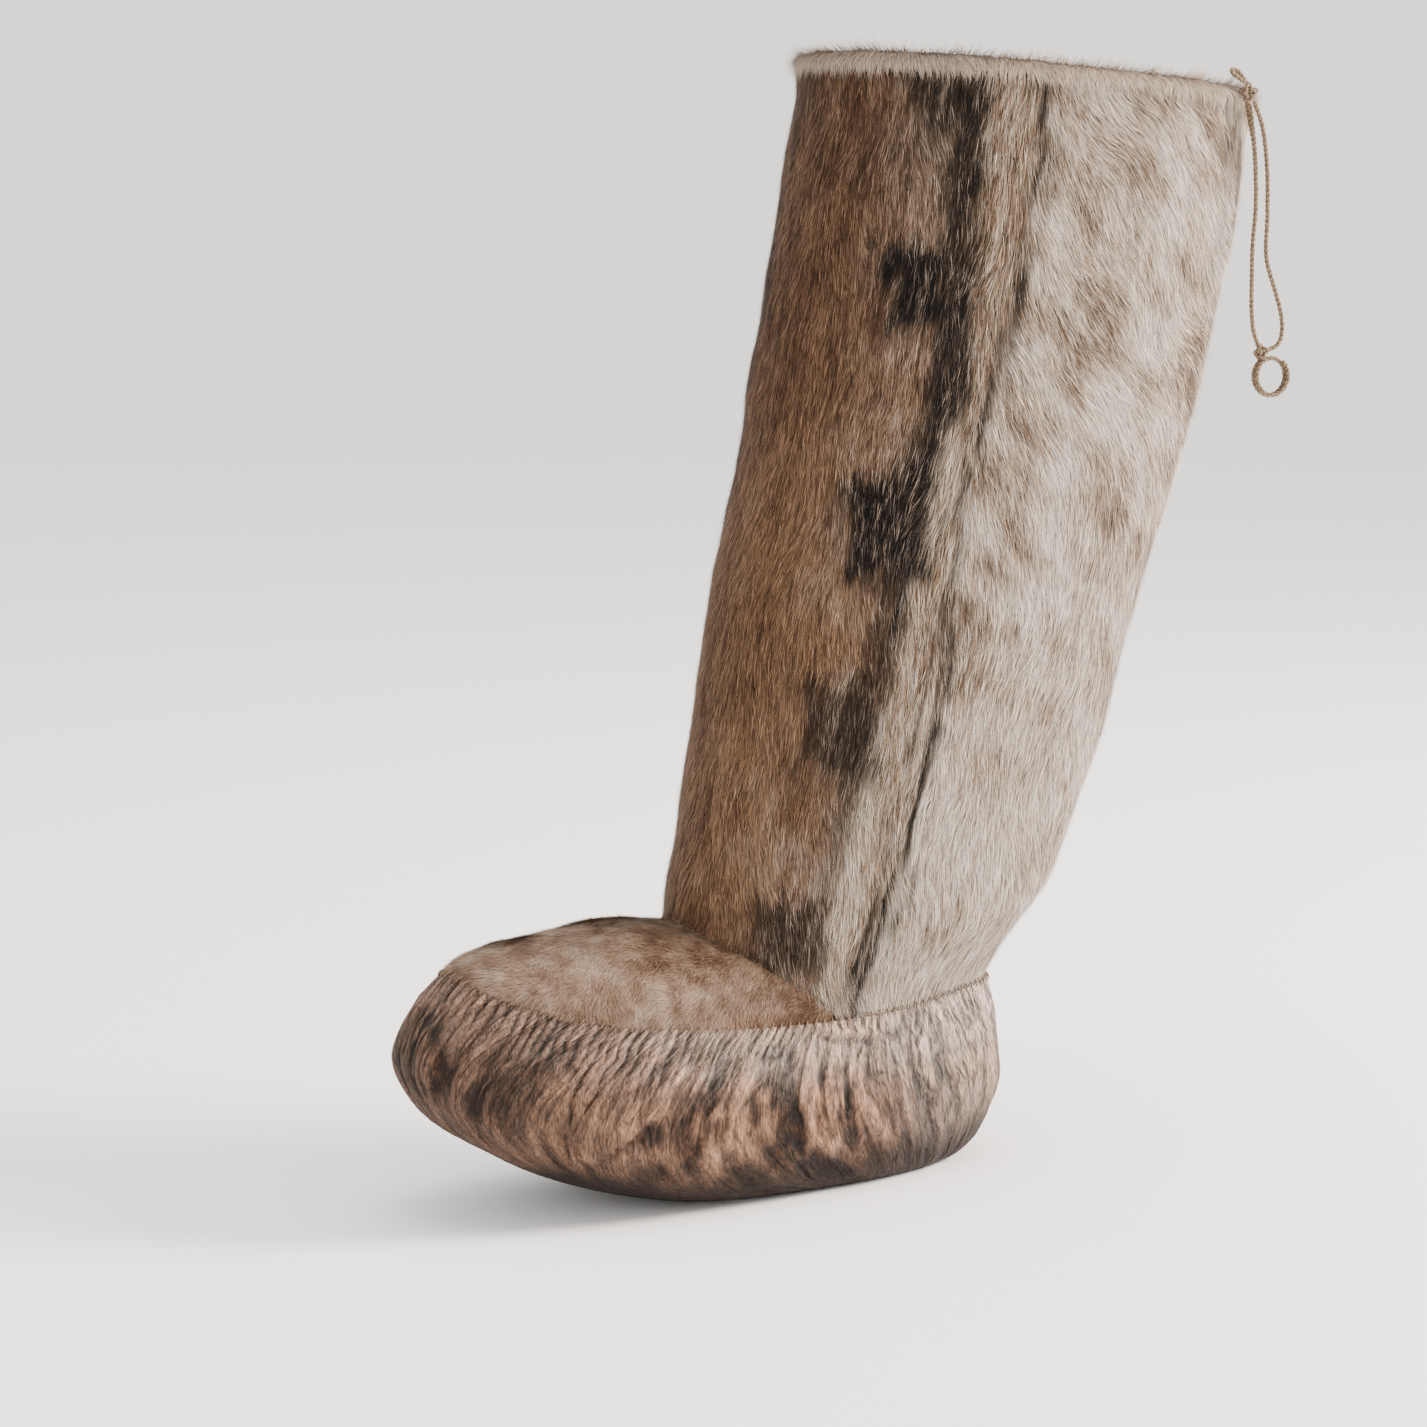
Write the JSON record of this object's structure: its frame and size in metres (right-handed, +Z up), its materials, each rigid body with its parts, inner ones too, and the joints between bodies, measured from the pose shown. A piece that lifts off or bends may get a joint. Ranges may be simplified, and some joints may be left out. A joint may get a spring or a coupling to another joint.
{
  "type": "mukluk",
  "caption": "Knee-high fur mukluk for the left foot, with a crimped hide sole, a low fur vamp, a tall leaning shaft and a drawstring collar.",
  "frame": {"origin": "on the floor, in the middle of the sole's flat tread, under the middle of the foot's length", "axes": "+Z up, toe towards -Y, heel towards +Y, +X the outer side of the left foot"},
  "size_m": [0.1258, 0.3949, 0.4596],
  "materials": {
    "sole_hide": "short-haired crimped hide, matt",
    "vamp_fur": "short fur lying flat",
    "shaft_fur": "fur lying flat, with dark squares and stripes",
    "casing_hide": "bare rolled hide",
    "insole_felt": "felt",
    "cord": "twisted cord"
  },
  "bodies": {
    "root": {"sole": "sole_hide", "insole": "insole_felt", "vamp": "vamp_fur", "shaft": "shaft_fur", "casing": "casing_hide", "drawstring_knot": "cord", "upright_loop": "cord", "strand_outer": "cord", "strand_inner": "cord", "cord_tail": "cord", "ring_knot": "cord", "cord_ring": "cord"}
  },
  "joints": []
}
